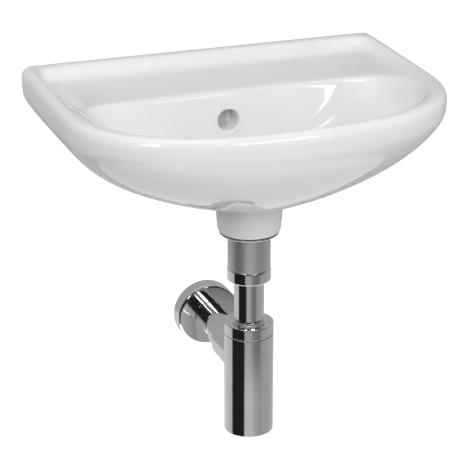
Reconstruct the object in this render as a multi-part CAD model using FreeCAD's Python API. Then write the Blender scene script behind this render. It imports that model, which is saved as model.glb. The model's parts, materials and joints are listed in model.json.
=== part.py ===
import FreeCAD, Part
import os
from math import atan2, cos, hypot, pi, sin, sqrt

# A wall hung hand basin with its waste, bottle trap, wall pipe and wall bolts.
# Millimetres. X runs along the wall, +Y goes into the wall, +Z is up.
# The origin is the middle of the basin's back top edge, on the wall.

V = FreeCAD.Vector

# ---------------------------------------------------------------- basin, overall
width = 400.0            # along the wall
projection = 280.0       # from the wall to the front of the rim
deck_depth = 78.0        # wall to the back edge of the bowl
bowl_depth = 110.0       # from the back top edge down to the bowl's floor
china = 11.5             # thickness of the glazed clay
front_drop = 10.0        # how far the rim's crest falls towards the front
side_drop = 5.5          # and halfway along the sides
band_height = 24.0       # foot of the upright band round the rim
front_fullness = 2.4     # exponent of the front curve: 2 is an ellipse
rim_breadth = 26.0       # outside of the rim to the bowl's edge, at the sides
front_breadth = 10.0     # the same at the front
upstand = 12.0           # thickness of the raised edge along the wall
deck_level = -25.0       # level of the deck at the bowl's edge
cove_level = -16.0       # level of the deck at the foot of the upstand
behind = 24.0            # the skin is drawn this far behind the wall and cut off there

# ---------------------------------------------------------------- basin, details
drain_y = -140.0         # the waste and the trap hang on this line
boss_radius = 35.5
boss_foot_radius = 33.5
boss_height = 36.5
belly_level = -bowl_depth - china            # where the belly meets the boss
boss_foot = belly_level - boss_height        # the boss's underside
seat_gap = 1.0           # round the waste's flange, in its recess
seat_depth = 4.0
waste_hole_gap = 2.05    # round the waste's tail, in its hole
overflow_level = -57.0
overflow_radius = 11.5
overflow_round = 2.5     # rounding of the overflow's mouth
channel_radius = 5.0     # overflow channel inside the china
spine_wall = 6.5         # china round the channel
spine_gap = 19.0         # from the bowl's back edge to the channel's middle
spine_back = 4.0         # how far the china goes on behind the overflow's tunnel
back_plate = 12.0        # thickness of the china against the wall
pocket_front = 16.0      # how far the pocket reaches past the bowl's back edge
pocket_half = 125.0      # half the pocket's opening, seen from below
fixing_half = 110.0      # half the distance between the wall bolts
fixing_level = -62.0
fixing_hole_radius = 7.5

# ---------------------------------------------------------------- waste
tail_radius = 20.95      # G 1 1/4 thread
tail_bore = 18.5
tail_thread = 6.4        # length of bare thread below the sleeve
cartridge_ledge = 9.0    # height of the ledge in the tail above the boss's foot
flange_radius = 32.0
flange_thickness = 2.5
gasket_thickness = 1.5
foot_gasket = 0.8        # the thinner one under the boss
window_half = 6.5        # half the width of the overflow windows in the tail
plug_radius = 30.0
plug_rise = 3.6          # height of the plug's crown
plug_stem_radius = 4.5
plug_hub_gap = 1.2       # between the plug's hub and the tail's bore
plug_hub_height = 4.5
washer_radius = 31.5
washer_thickness = 1.6
sleeve_wall = 1.65
sleeve_height = 38.2
seat_radius = flange_radius + seat_gap
waste_hole_radius = tail_radius + waste_hole_gap
sleeve_radius = tail_radius + sleeve_wall
sleeve_foot = boss_foot - foot_gasket - washer_thickness - sleeve_height
tail_foot = sleeve_foot - tail_thread

# ---------------------------------------------------------------- trap
tube_radius = 16.0
tube_wall = 1.5
tube_shown = 48.4        # length of tube between the two nuts
tube_clearance = 33.0    # from the bottle's foot up to the tube's foot
inlet_nut_wall = 2.05    # thickest wall round the tail's thread
inlet_nut_height = 14.0
inlet_seal_height = 2.0
collar_height = 2.0      # collar at the top of the dip tube
bottle_room = 10.3       # from the tube to the outside of the bottle
bottle_wall = 2.0
bottle_height = 126.7    # from the cap nut's top to the bottle's foot
cap_height = 12.7
cap_web = 4.6            # from the cap nut's top to the underside of its web
neck_drop = 8.7          # from the cap nut's top to the top of the bottle's neck
neck_step = 3.0          # how much slimmer the neck is than the bottle
branch_drop = 44.3       # from the cap nut's top to the wall pipe's line
branch_end = -86.0       # y of the branch's mouth
gland_room = 4.4         # from the pipe to the outlet nut's thread
gland_step = 2.6         # wall of the branch round that thread
gland_depth = 13.5       # from the branch's mouth to the seat of the outlet seal
gland_reach = 8.5        # how far the outlet nut's thread goes in
outlet_nut_wall = 3.0
outlet_nut_end = -62.0
pipe_inner_end = -104.0
pipe_outer_end = 30.0    # inside the wall's drain socket
pipe_mark = 3.0          # y of the groove that marks how far the pipe goes into the wall
mark_width = 1.6
mark_depth = 0.5
rosette_radius = 36.0
rosette_height = 18.0
rosette_wall = 1.2
rosette_collar = 7.0     # depth of the collar round the pipe
cleanout_radius = 13.0

# ---------------------------------------------------------------- wall bolts
bolt_radius = 4.0
screw_radius = 4.6       # the wood screw end, in the wall plug
screw_start = 2.0        # depth in the wall where that end starts
bolt_in_wall = 52.0
bolt_out = 36.0
nut_across = 13.0
nut_height = 6.5

# ---------------------------------------------------------------- clearances
thread_gap = 0.1         # between turned threads, drawn as plain cylinders
slide_gap = 0.08         # between the tube or pipe and what it slides in
seam = 0.6               # dark line between the cap nut and the bottle
free_gap = 0.3           # between faces that move past each other

inlet_nut_radius = tail_radius + inlet_nut_wall
inlet_nut_top = sleeve_foot - free_gap
cap_top = inlet_nut_top - inlet_nut_height - tube_shown
cap_seam = cap_top - cap_height
bottle_radius = tube_radius + bottle_room
bottle_foot = cap_top - bottle_height
tube_foot = bottle_foot + tube_clearance
branch_level = cap_top - branch_drop
outlet_nut_radius = tube_radius + outlet_nut_wall
neck_top = cap_top - neck_drop
neck_radius = bottle_radius - neck_step
gland_radius = tube_radius + gland_room
branch_radius = gland_radius + gland_step
plug_seat = -bowl_depth - seat_depth + gasket_thickness + flange_thickness   # the flange's top
cartridge_seat = boss_foot + cartridge_ledge

columns = 48             # control points round each ring of the basin's skin
corner_weight = 62.0     # mm of extra length per radian of turn when they are spread

os.makedirs("parts", exist_ok=True)


# ================================================================ tools

def save(name, *solids):
    """One node: a single solid, or a group of separate like solids."""
    shape = solids[0] if len(solids) == 1 else Part.makeCompound(list(solids))
    shape.exportStep("parts/" + name + ".step")
    for solid in shape.Solids:
        if not solid.isValid():
            print("not valid:", name)
    print(name, len(shape.Solids), round(shape.Volume))


def rounded_outline(corners):
    """A closed outline in the XZ plane. A corner is (x, z) or (x, z, radius)."""
    edges = []
    joints = []
    count = len(corners)
    for i, corner in enumerate(corners):
        here = V(corner[0], 0, corner[1])
        before = V(corners[i - 1][0], 0, corners[i - 1][1])
        after = V(corners[(i + 1) % count][0], 0, corners[(i + 1) % count][1])
        radius = corner[2] if len(corner) > 2 else 0
        if radius <= 0:
            joints.append((here, here, None))
            continue
        back = (before - here).normalize()
        ahead = (after - here).normalize()
        half = back.getAngle(ahead) / 2
        reach = radius * cos(half) / sin(half)
        middle = here + (back + ahead).normalize() * (radius / sin(half) - radius)
        joints.append((here + back * reach, here + ahead * reach, middle))
    for i, (start, end, middle) in enumerate(joints):
        if middle is not None:
            edges.append(Part.Arc(start, middle, end).toShape())
        following = joints[(i + 1) % count][0]
        if end.distanceToPoint(following) > 1e-6:
            edges.append(Part.LineSegment(end, following).toShape())
    return Part.Face(Part.Wire(edges))


def turned(corners):
    """A turned piece on the drain's line: corners are (radius, level)."""
    solid = rounded_outline(corners).revolve(V(0, 0, 0), V(0, 0, 1), 360)
    return solid.translated(V(0, drain_y, 0))


def turned_along_wall_pipe(corners):
    """A turned piece on the wall pipe's line: corners are (radius, y)."""
    solid = rounded_outline(corners).revolve(V(0, 0, 0), V(0, 0, 1), 360)
    solid.rotate(V(0, 0, 0), V(1, 0, 0), -90)
    return solid.translated(V(0, 0, branch_level))


def tube(outer, inner, low, high):
    return [(inner, low), (outer, low), (outer, high), (inner, high)]


def rod(radius, start, end):
    """A plain cylinder between two points."""
    return Part.makeCylinder(radius, start.distanceToPoint(end), start, end - start)


def block(low, high):
    return Part.makeBox(high[0] - low[0], high[1] - low[1], high[2] - low[2], V(*low))


# ================================================================ basin skin

def between(y, stations):
    """A smooth curve through three (y, level) stations that never overshoots them."""
    (y0, a), (y1, b), (y2, c) = stations
    rise = (b - a) / (y1 - y0)
    fall = (c - b) / (y2 - y1)
    middle = 0.0 if rise * fall <= 0 else 2 * rise * fall / (rise + fall)
    if y >= y1:
        t, span, p, q = (y - y0) / (y1 - y0), y1 - y0, a, b
        m0, m1 = 1.5 * rise - middle / 2, middle
    else:
        t, span, p, q = (y - y1) / (y2 - y1), y2 - y1, b, c
        m0, m1 = middle, 1.5 * fall - middle / 2
    t = min(max(t, 0.0), 1.0)
    cubic = (2 * t ** 3 - 3 * t ** 2 + 1) * p + (3 * t ** 2 - 2 * t ** 3) * q
    return cubic + span * ((t ** 3 - 2 * t ** 2 + t) * m0 + (t ** 3 - t ** 2) * m1)


def ring(half, back, front, levels, widest=-150.0, back_fullness=2.0, fullness=2.0):
    """Control points round one level of the skin, spread by length and by turning.

    half is the half width, reached at y = widest; back and front are y where x is 0;
    levels are z at the back, at the widest place and at the front.
    """
    path = []
    steps = 720
    for i in range(steps + 1):
        angle = pi / 2 - pi * i / steps
        c, s = cos(angle), sin(angle)
        power = back_fullness if s > 0 else fullness
        reach = (abs(c) ** power + abs(s) ** power) ** (-1 / power)
        depth = (back - widest) if s > 0 else (widest - front)
        path.append((half * reach * max(c, 0.0), widest + depth * reach * s))
    measure = [0.0]
    heading = 0.0
    for i in range(1, len(path)):
        dx, dy = path[i][0] - path[i - 1][0], path[i][1] - path[i - 1][1]
        new_heading = atan2(-dy, dx)
        turn = abs(new_heading - heading)
        measure.append(measure[-1] + hypot(dx, dy) + corner_weight * turn)
        heading = new_heading
    points = []
    place = 0
    for k in range(columns // 2 + 1):
        target = measure[-1] * k / (columns // 2)
        while place < len(measure) - 2 and measure[place + 1] < target:
            place += 1
        t = (target - measure[place]) / (measure[place + 1] - measure[place])
        x = path[place][0] + t * (path[place + 1][0] - path[place][0])
        y = path[place][1] + t * (path[place + 1][1] - path[place][1])
        points.append((x, y))
    stations = ((back, levels[0]), (widest, levels[1]), (front, levels[2]))
    right = [V(x, y, between(y, stations)) for x, y in points]
    left = [V(-p.x, p.y, p.z) for p in reversed(right[1:-1])]
    return right + left


def circle_ring(radius, level):
    return ring(radius, drain_y + radius, drain_y - radius, (level,) * 3, widest=drain_y)


def bowl_rings():
    """From the floor round the waste up to the edge of the bowl."""
    edge_half = width / 2 - rim_breadth
    edge_back = -deck_depth
    edge_front = -projection + front_breadth
    # share of the way from the drain to the edge (side, back, front) and of the depth
    stations = [
        (0.34, 0.80, 0.53, 0.945),
        (0.48, 0.88, 0.71, 0.865),
        (0.64, 0.930, 0.83, 0.730),
        (0.775, 0.955, 0.90, 0.555),
        (0.875, 0.972, 0.945, 0.385),
        (0.935, 0.980, 0.965, 0.255),
    ]
    rings = [circle_ring(24.0, -bowl_depth), circle_ring(34.0, -bowl_depth + 0.6)]
    for side, back, front, depth in stations:
        rings.append(ring(
            edge_half * side,
            drain_y + (edge_back - drain_y) * back,
            drain_y + (edge_front - drain_y) * front,
            (min(-bowl_depth * depth, deck_level - 6.0),) + (-bowl_depth * depth,) * 2,
            back_fullness=2.0 + 2.0 * side,
            fullness=2.0 + 0.25 * side,
        ))
    rings[-1] = ring(
        edge_half * 0.935, edge_back - 1.3, edge_front + 4.5,
        (deck_level - 7.5, -bowl_depth * 0.24, -bowl_depth * 0.20),
        back_fullness=4.0, fullness=2.3,
    )
    return rings


def rim_rings():
    """Over the edge of the bowl, across the deck, over the rim and down its band."""
    half = width / 2
    nose = -projection
    side = -side_drop
    tip = -front_drop
    edge = -deck_depth
    # (inset at the side, y at the back, inset at the front, level at back, side, front, fullness of
    # the back curve)
    stations = [
        (rim_breadth + 3.5, edge - 0.6, 12.5, deck_level - 3.0, side - 9.5, tip - 4.6, 4.0),
        (rim_breadth, edge + 1.4, 10.3, deck_level - 0.4, side - 5.6, tip - 2.4, 4.0),
        (rim_breadth - 5.0, edge + 9.0, 8.3, deck_level + 0.9, side - 3.0, tip - 0.9, 4.6),
        (19.0, edge + 33.0, 7.6, deck_level + 4.2, side - 2.1, tip - 0.6, 7.0),
        (17.0, -upstand - 15.5, 7.2, cove_level - 1.2, side - 1.4, tip - 0.35, 10.0),
        (15.0, -upstand - 6.5, 7.0, cove_level + 1.2, side - 0.9, tip - 0.2, 14.0),
        (13.0, -upstand - 1.8, 6.8, cove_level + 7.0, side - 0.5, tip - 0.1, 18.0),
        (11.0, -upstand + 1.4, 6.6, -1.8, side - 0.2, tip, 20.0),
        (9.0, -upstand + 6.8, 6.3, 0.0, side, tip, 22.0),
        (6.0, 7.0, 4.4, 0.0, side - 0.2, tip - 0.2, 28.0),
        (2.0, 15.0, 1.0, -2.0, side - 2.6, tip - 2.6, 34.0),
        (0.0, behind, -0.5, -8.5, side - 8.5, tip - 8.0, 40.0),
        (0.0, behind, -0.5, -band_height + 7.5, side - 15.0, tip - 13.5, 40.0),
    ]
    return [ring(half - inset, back, nose + ahead, (z0, z1, z2),
                 widest=-155.0, back_fullness=power, fullness=front_fullness)
            for inset, back, ahead, z0, z1, z2, power in stations]


def belly_rings():
    """Down the outside, from the foot of the band to the boss."""
    rings = []
    middle = -projection * 0.595
    top = -band_height - 2.0
    drop = top - belly_level
    # level as a share of the drop, half width as a share, front reach as a share, y at the back
    stations = [
        (0.03, 0.998, 0.997, behind, 36.0),
        (0.10, 0.986, 0.986, behind, 30.0),
        (0.22, 0.953, 0.954, behind, 20.0),
        (0.36, 0.902, 0.897, behind, 14.0),
        (0.50, 0.830, 0.814, behind, 10.0),
        (0.63, 0.735, 0.710, behind - 6.0, 7.0),
        (0.75, 0.615, 0.592, -12.0, 5.0),
        (0.85, 0.488, 0.470, -46.0, 3.6),
        (0.93, 0.358, 0.348, -78.0, 2.6),
        (0.98, 0.254, 0.249, -97.0, 2.1),
    ]
    for depth, side, ahead, back, power in stations:
        half = width / 2 * side
        front = middle - (projection + middle) * ahead
        widest = -155.0 + (drain_y + 155.0) * depth
        level = top - drop * depth
        sag = 0.55 * max(0.0, 1 - depth / 0.45)
        levels = (level, level - side_drop * sag, level - front_drop * sag)
        rings.append(ring(half, back, front, levels,
                          widest=widest, back_fullness=power,
                          fullness=front_fullness - 0.4 * depth))
    return rings


def boss_rings():
    return [
        circle_ring(boss_radius + 4.0, belly_level - 0.4),
        circle_ring(boss_radius + 0.3, belly_level - 2.2),
        circle_ring(boss_radius, belly_level - 6.0),
        circle_ring((boss_radius + boss_foot_radius) / 2, (belly_level + boss_foot) / 2),
        circle_ring(boss_foot_radius, boss_foot + 5.0),
        circle_ring(boss_foot_radius - 0.6, boss_foot + 1.0),
        circle_ring(boss_foot_radius - 3.0, boss_foot),
        circle_ring(boss_foot_radius - 6.0, boss_foot),
    ]


def skinned(rings):
    """A closed solid with one smooth cubic skin over the rings, and flat ends."""
    surface = Part.BSplineSurface()
    spans = len(rings) - 3
    knots_along = [i / spans for i in range(spans + 1)]
    knots_round = [i / columns for i in range(columns + 1)]
    surface.buildFromPolesMultsKnots(
        rings,
        [4] + [1] * (spans - 1) + [4], [1] * (columns + 1),
        knots_along, knots_round,
        False, True, 3, 3,
    )
    skin = surface.toShape()
    ends = []
    for edge in skin.Edges:
        levels = [edge.valueAt(t).z for t in edge.ParameterRange]
        box = edge.BoundBox
        if box.ZLength < 1e-6 and abs(levels[0] - levels[1]) < 1e-6 and edge.isClosed():
            ends.append(Part.Face(Part.Wire([edge])))
    shell = Part.makeShell([skin] + ends)
    shell.sewShape()
    solid = Part.makeSolid(shell)
    if solid.Volume < 0:
        solid.reverse()
    return solid


def pocket():
    """The room behind the bowl, open underneath, that the bolts are reached through."""
    half = width / 2
    roof = deck_level - china
    slope = (
        (half - 28.0, roof + 3.0), (half - 30.0, roof - 8.0), (half - 42.0, fixing_level - 4.0),
        (pocket_half, fixing_level - 27.0), (pocket_half, boss_foot),
    )
    corners = [V(x, 0, z) for x, z in slope] + [V(-x, 0, z) for x, z in reversed(slope)]
    outline = Part.Face(Part.makePolygon(corners + corners[:1]))
    depth = deck_depth + pocket_front - back_plate
    return outline.extrude(V(0, -depth, 0)).translated(V(0, -back_plate, 0))


def bowl_shell():
    """The bowl's china as seen from the pocket: the bowl's own rings, set out by its thickness."""
    rings = []
    edge_half = width / 2 - rim_breadth + china
    edge_back = -deck_depth + china
    edge_front = -projection + front_breadth - china
    foot = -bowl_depth - china
    for side, back, front, depth, power in (
        (0.20, 0.40, 0.25, 1.0, 2.0),
        (0.34, 0.72, 0.45, 1.0, 2.2),
        (0.50, 0.86, 0.70, 0.94, 2.8),
        (0.66, 0.93, 0.83, 0.80, 3.2),
        (0.80, 0.965, 0.91, 0.60, 3.6),
        (0.90, 0.985, 0.955, 0.40, 3.8),
        (0.96, 0.995, 0.98, 0.22, 4.0),
        (0.98, 1.0, 0.99, 0.10, 4.0),
        (1.0, 1.0, 1.0, 0.0, 4.0),
    ):
        rings.append(ring(
            edge_half * side, drain_y + (edge_back - drain_y) * back,
            drain_y + (edge_front - drain_y) * front, (foot * depth,) * 3,
            back_fullness=power, fullness=2.2,
        ))
    return skinned(rings)


def channel_line():
    """The overflow channel's middle: down behind the bowl, then forward to the waste."""
    back_y = -deck_depth + spine_gap
    top = V(0, back_y, overflow_level + 6.0)
    knee = V(0, back_y - 4.0, -bowl_depth + 5.0)
    outlet = V(0, drain_y + waste_hole_radius - 3.0, (belly_level + boss_foot) / 2 + 8.0)
    return top, knee, outlet


def make_basin():
    body = skinned(bowl_rings() + rim_rings() + belly_rings() + boss_rings())
    far = width + projection
    body = body.cut(block((-far, 0, -far), (far, far, far)))
    hollow = pocket().cut(bowl_shell())
    top, knee, outlet = channel_line()
    spine_radius = channel_radius + spine_wall
    tunnel_half = overflow_radius + spine_wall
    roof_top = V(top.x, top.y, deck_level - 4.0)
    spine = rod(spine_radius, roof_top, knee).fuse([
        rod(spine_radius, knee, outlet), Part.makeSphere(spine_radius, knee),
        block((-tunnel_half, top.y - spine_gap + 6.0, knee.z), (tunnel_half, top.y + spine_back, roof_top.z)),
    ])
    body = body.cut(hollow).fuse(spine)
    drain = V(0, drain_y, 0)
    body = body.cut([
        rod(waste_hole_radius, drain + V(0, 0, boss_foot - 5), drain),
        rod(seat_radius, drain + V(0, 0, -bowl_depth - seat_depth), drain),
        rod(channel_radius, top, knee), Part.makeSphere(channel_radius, knee),
        rod(channel_radius, knee, outlet),
        overflow_cutter(top.y),
    ])
    for sign in (-1, 1):
        middle = V(sign * fixing_half, 0, fixing_level)
        body = body.cut(rod(fixing_hole_radius, middle + V(0, 5, 0),
                            middle - V(0, back_plate + 5, 0)))
    return max(body.Solids, key=lambda s: s.Volume)


def overflow_cutter(end_y):
    """The overflow hole: a short tunnel back from the bowl, with a rounded mouth."""
    mouth = -deck_depth - 2.4
    flare = rounded_outline([
        (0, end_y), (overflow_radius, end_y), (overflow_radius, mouth, overflow_round),
        (overflow_radius + overflow_round * 2, mouth - 0.1),
        (overflow_radius + overflow_round * 2, mouth - 20), (0, mouth - 20),
    ])
    solid = flare.revolve(V(0, 0, 0), V(0, 0, 1), 360)
    solid.rotate(V(0, 0, 0), V(1, 0, 0), -90)
    return solid.translated(V(0, 0, overflow_level))


# ================================================================ waste

def make_waste_body():
    seat = -bowl_depth - seat_depth
    under = seat + gasket_thickness
    top = under + flange_thickness
    ledge = cartridge_seat
    body = turned([
        (tail_bore - 1.6, tail_foot), (tail_radius, tail_foot, 0.6), (tail_radius, under),
        (flange_radius, under, 0.5), (flange_radius, top, 1.0), (tail_bore + 6.5, top, 0.6),
        (tail_bore, top - flange_thickness * 0.9, 1.0), (tail_bore, ledge), (tail_bore - 1.6, ledge),
    ])
    low = ledge + 11.0
    high = under - 3.0
    far = tail_radius + 1
    windows = [
        block((-window_half, drain_y - far, low), (window_half, drain_y + far, high)),
        block((-far, drain_y - window_half, low), (far, drain_y + window_half, high)),
    ]
    core = rod(tail_bore - 0.01, V(0, drain_y, low - 1), V(0, drain_y, high + 1))
    return body.cut([w.cut(core) for w in windows])


def make_waste_plug():
    seat = plug_seat + free_gap
    thick = 2.4
    stem_foot = cartridge_seat + 4.0
    hub = tail_bore - plug_hub_gap
    hub_foot = seat - plug_hub_height
    return turned([
        (0, stem_foot), (plug_stem_radius, stem_foot, 0.8), (plug_stem_radius, hub_foot),
        (hub, hub_foot), (hub, seat),
        (plug_radius, seat, 0.6), (plug_radius, seat + thick, 1.2),
        (plug_radius * 0.55, seat + thick + plug_rise * 0.75, 24.0), (0, seat + thick + plug_rise),
    ])


def make_plug_seal():
    low = plug_seat + free_gap - 0.75 * plug_hub_height
    high = low + 1.6
    hub = tail_bore - plug_hub_gap
    return turned([
        (hub, low), (tail_bore - slide_gap, low, 0.4), (tail_bore - slide_gap, high, 0.4), (hub, high),
    ])


def make_plug_cartridge():
    ledge = cartridge_seat
    hub = turned([
        (plug_stem_radius + slide_gap, ledge), (plug_stem_radius + 3.5, ledge, 0.6),
        (plug_stem_radius + 3.5, ledge + 17.0, 0.8), (plug_stem_radius + slide_gap, ledge + 17.0),
    ])
    rim = turned(tube(tail_bore - slide_gap, tail_bore - 2.4, ledge, ledge + 6.0))
    arms = []
    for k in range(3):
        arm = block((plug_stem_radius + 1.5, -1.2, ledge), (tail_bore - 1.0, 1.2, ledge + 4.5))
        arm.rotate(V(0, 0, 0), V(0, 0, 1), 90 + 120 * k)
        arms.append(arm.translated(V(0, drain_y, 0)))
    floor = rod(plug_stem_radius + 3.0, V(0, drain_y, ledge), V(0, drain_y, ledge + 1.5))
    return hub.fuse([rim, floor] + arms).removeSplitter()


def make_gaskets():
    seat = -bowl_depth - seat_depth
    save("waste_top_gasket", turned(tube(
        flange_radius - 0.5, tail_radius + thread_gap, seat, seat + gasket_thickness)))
    low = boss_foot - foot_gasket
    save("waste_lower_gasket", turned(tube(
        washer_radius - 1.5, tail_radius + thread_gap, low, boss_foot)))


def make_ring_washer():
    top = boss_foot - foot_gasket
    inner = tail_radius + thread_gap
    low = top - washer_thickness
    return turned([(inner, low), (washer_radius, low, 0.8), (washer_radius, top, 0.8), (inner, top)])


def make_tail_sleeve():
    top = sleeve_foot + sleeve_height
    inner = tail_radius + thread_gap
    return turned([
        (inner, sleeve_foot, 0.3), (sleeve_radius, sleeve_foot, 0.5), (sleeve_radius, top, 0.5),
        (inner, top, 0.3),
    ])


# ================================================================ trap

def make_inlet_nut():
    top = inlet_nut_top
    low = top - inlet_nut_height
    inner = tail_radius + thread_gap
    web = tail_foot - inlet_seal_height - collar_height - free_gap
    return turned([
        (tube_radius + slide_gap, low, 0.3), (inlet_nut_radius, low, 1.2),
        (inlet_nut_radius, top, 1.8), (inner, top, 0.4), (inner, web), (tube_radius + slide_gap, web),
    ])


def make_inlet_seal():
    return turned(tube(tail_radius - 0.2, tube_radius - 1.0, tail_foot - inlet_seal_height, tail_foot))


def make_dip_tube():
    top = tail_foot - inlet_seal_height
    collar = top - collar_height
    inner = tube_radius - tube_wall
    return turned([
        (inner, tube_foot), (tube_radius, tube_foot, 0.4), (tube_radius, collar),
        (tail_radius - 0.1, collar), (tail_radius - 0.1, top), (inner, top),
    ])


def make_cap_nut():
    """The nut on the bottle, with a flat rim and a stepped recess round the tube."""
    inner = neck_radius + thread_gap
    web = cap_top - cap_web
    hole = tube_radius + free_gap
    return turned([
        (inner, cap_seam), (bottle_radius, cap_seam, 0.4), (bottle_radius, cap_top, 0.9),
        (hole + 5.2, cap_top, 0.5), (hole + 4.0, cap_top - 1.2), (hole + 2.3, cap_top - 1.5),
        (hole, cap_top - 2.7),
        (hole, web), (inner, web),
    ])


def make_cap_rings():
    web = cap_top - cap_web
    inner = tube_radius + slide_gap
    save("slip_ring", turned(tube(neck_radius - 0.3, inner, web - 1.2, web - 0.1)))
    save("cap_seal", turned([
        (inner, neck_top - 3.5), (neck_radius - 3.6, neck_top - 3.5), (neck_radius - 1.8, neck_top),
        (neck_radius - 0.3, neck_top), (neck_radius - 0.3, web - 1.2), (inner, web - 1.2),
    ]))


def make_bottle():
    outer = turned([
        (0, bottle_foot), (bottle_radius, bottle_foot, 2.0), (bottle_radius, cap_seam - seam, 0.4),
        (neck_radius, cap_seam - seam), (neck_radius, neck_top), (0, neck_top),
    ])
    bore_top = neck_top - 5.0
    bore = turned([
        (0, bottle_foot + 2.5), (bottle_radius - bottle_wall, bottle_foot + 2.5, 3.0),
        (bottle_radius - bottle_wall, cap_seam - 8.0), (neck_radius - 1.8, bore_top),
        (neck_radius - 3.4, neck_top - 3.5), (neck_radius - 1.6, neck_top), (neck_radius - 1.6, neck_top + 1),
        (0, neck_top + 1),
    ])
    branch = turned_along_wall_pipe([
        (0, drain_y), (branch_radius, drain_y), (branch_radius, branch_end, 1.0), (0, branch_end),
    ])
    stop = pipe_inner_end - 1.5
    gland_seat = branch_end - gland_depth
    throat = turned_along_wall_pipe([
        (0, drain_y), (tube_radius - 2.0, drain_y), (tube_radius - 2.0, stop),
        (tube_radius + slide_gap, stop), (tube_radius + slide_gap, gland_seat),
        (gland_radius - 1.2, gland_seat), (gland_radius + thread_gap, gland_seat + 3.5),
        (gland_radius + thread_gap, branch_end + 1), (0, branch_end + 1),
    ])
    hole = rod(cleanout_radius + thread_gap, V(0, drain_y, bottle_foot - 1),
               V(0, drain_y, bottle_foot + 4))
    return outer.fuse(branch).cut([bore, throat, hole]).removeSplitter()


def make_outlet_nut():
    hole = tube_radius + free_gap
    inner_end = branch_end - gland_reach
    return turned_along_wall_pipe([
        (hole, inner_end), (gland_radius, inner_end), (gland_radius, branch_end + free_gap),
        (outlet_nut_radius, branch_end + free_gap), (outlet_nut_radius, outlet_nut_end, 2.4),
        (hole, outlet_nut_end, 0.3),
    ])


def make_outlet_rings():
    start = branch_end - gland_reach - thread_gap
    inner = tube_radius + slide_gap
    outer = gland_radius - 0.2
    save("outlet_slip_ring", turned_along_wall_pipe(tube(outer, inner, start - 1.2, start)))
    save("outlet_seal", turned_along_wall_pipe([
        (inner, start - 4.6), (outer - 1.6, start - 4.6), (outer, start - 1.3), (inner, start - 1.3),
    ]))


def make_wall_pipe():
    inner = tube_radius - tube_wall
    return turned_along_wall_pipe([
        (inner, pipe_inner_end), (tube_radius, pipe_inner_end, 0.4),
        (tube_radius, pipe_mark), (tube_radius - mark_depth, pipe_mark),
        (tube_radius - mark_depth, pipe_mark + mark_width), (tube_radius, pipe_mark + mark_width),
        (tube_radius, pipe_outer_end, 0.4), (inner, pipe_outer_end),
    ])


def make_rosette():
    """A pressed cover plate, hollow on the wall side, with a collar round the pipe."""
    face = -rosette_height
    t = rosette_wall
    r = rosette_radius
    hole = tube_radius + free_gap
    return turned_along_wall_pipe([
        (hole, face), (r, face, 3.0), (r, 0), (r - t, 0), (r - t, face + t, 1.8), (hole + t, face + t),
        (hole + t, face + rosette_collar), (hole, face + rosette_collar),
    ])


def make_rosette_seal():
    start = -rosette_height + rosette_collar + thread_gap
    return turned_along_wall_pipe(tube(
        tube_radius + 2.4, tube_radius + slide_gap, start, start + 3.0))


def make_cleanout():
    r = cleanout_radius
    low = bottle_foot - 4.0
    seat = bottle_foot - gasket_thickness
    plug = turned([
        (0, low), (r + 4.0, low, 1.0), (r + 4.0, seat), (r, seat), (r, bottle_foot + 3.5),
        (0, bottle_foot + 3.5),
    ])
    slot = block((-r, drain_y - 1.1, low - 1), (r, drain_y + 1.1, low + 1.4))
    save("cleanout_plug", plug.cut(slot))
    save("cleanout_seal", turned(tube(r + 3.6, r + thread_gap, seat, bottle_foot)))


# ================================================================ wall bolts

def at_fixings(solid):
    """The same piece at both wall bolts; it is drawn at x = 0 and at the bolts' level."""
    return [solid.translated(V(sign * fixing_half, 0, 0)) for sign in (-1, 1)]


def fixing_turned(corners):
    solid = rounded_outline(corners).revolve(V(0, 0, 0), V(0, 0, 1), 360)
    solid.rotate(V(0, 0, 0), V(1, 0, 0), 90)
    return solid.translated(V(0, 0, fixing_level))


def make_fixings():
    """Corners are (radius, distance out from the wall)."""
    r = bolt_radius
    save("hanger_bolts", *at_fixings(fixing_turned([
        (0, -bolt_in_wall - 4.0), (0.6, -bolt_in_wall - 4.0), (screw_radius, -bolt_in_wall + 6.0),
        (screw_radius, -screw_start), (r, -screw_start), (r, bolt_out, 0.8), (0, bolt_out),
    ])))
    bush = fixing_hole_radius - thread_gap
    lip = back_plate + 2.0
    save("fixing_bushes", *at_fixings(fixing_turned([
        (r + 0.15, 0.5), (bush, 0.5), (bush, back_plate), (bush + 4.5, back_plate),
        (bush + 4.5, lip, 0.8), (r + 0.15, lip),
    ])))
    save("fixing_washers", *at_fixings(fixing_turned(tube(bush + 4.0, r + 0.2, lip, lip + 1.6))))
    base = lip + 1.6
    corners = [V(nut_across / sqrt(3) * cos(k * pi / 3), 0, nut_across / sqrt(3) * sin(k * pi / 3))
               for k in range(6)]
    hexagon = Part.Face(Part.makePolygon(corners + corners[:1])).extrude(V(0, -nut_height, 0))
    hexagon = hexagon.translated(V(0, -base, fixing_level))
    blank = fixing_turned([
        (r + thread_gap, base), (nut_across / 2, base), (nut_across / 2 + 1.2, base + 0.8),
        (nut_across / 2 + 1.2, base + nut_height - 0.8), (nut_across / 2, base + nut_height),
        (r + thread_gap, base + nut_height),
    ])
    save("fixing_nuts", *at_fixings(hexagon.common(blank)))


# ================================================================ the pieces

save("basin", make_basin())
save("waste_body", make_waste_body())
save("waste_plug", make_waste_plug())
save("plug_seal", make_plug_seal())
save("plug_cartridge", make_plug_cartridge())
make_gaskets()
save("ring_washer", make_ring_washer())
save("tail_sleeve", make_tail_sleeve())
save("inlet_nut", make_inlet_nut())
save("inlet_seal", make_inlet_seal())
save("dip_tube", make_dip_tube())
save("cap_nut", make_cap_nut())
make_cap_rings()
save("bottle", make_bottle())
save("outlet_nut", make_outlet_nut())
make_outlet_rings()
save("wall_pipe", make_wall_pipe())
save("rosette", make_rosette())
save("rosette_seal", make_rosette_seal())
make_cleanout()
make_fixings()
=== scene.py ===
import json
import math

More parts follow.
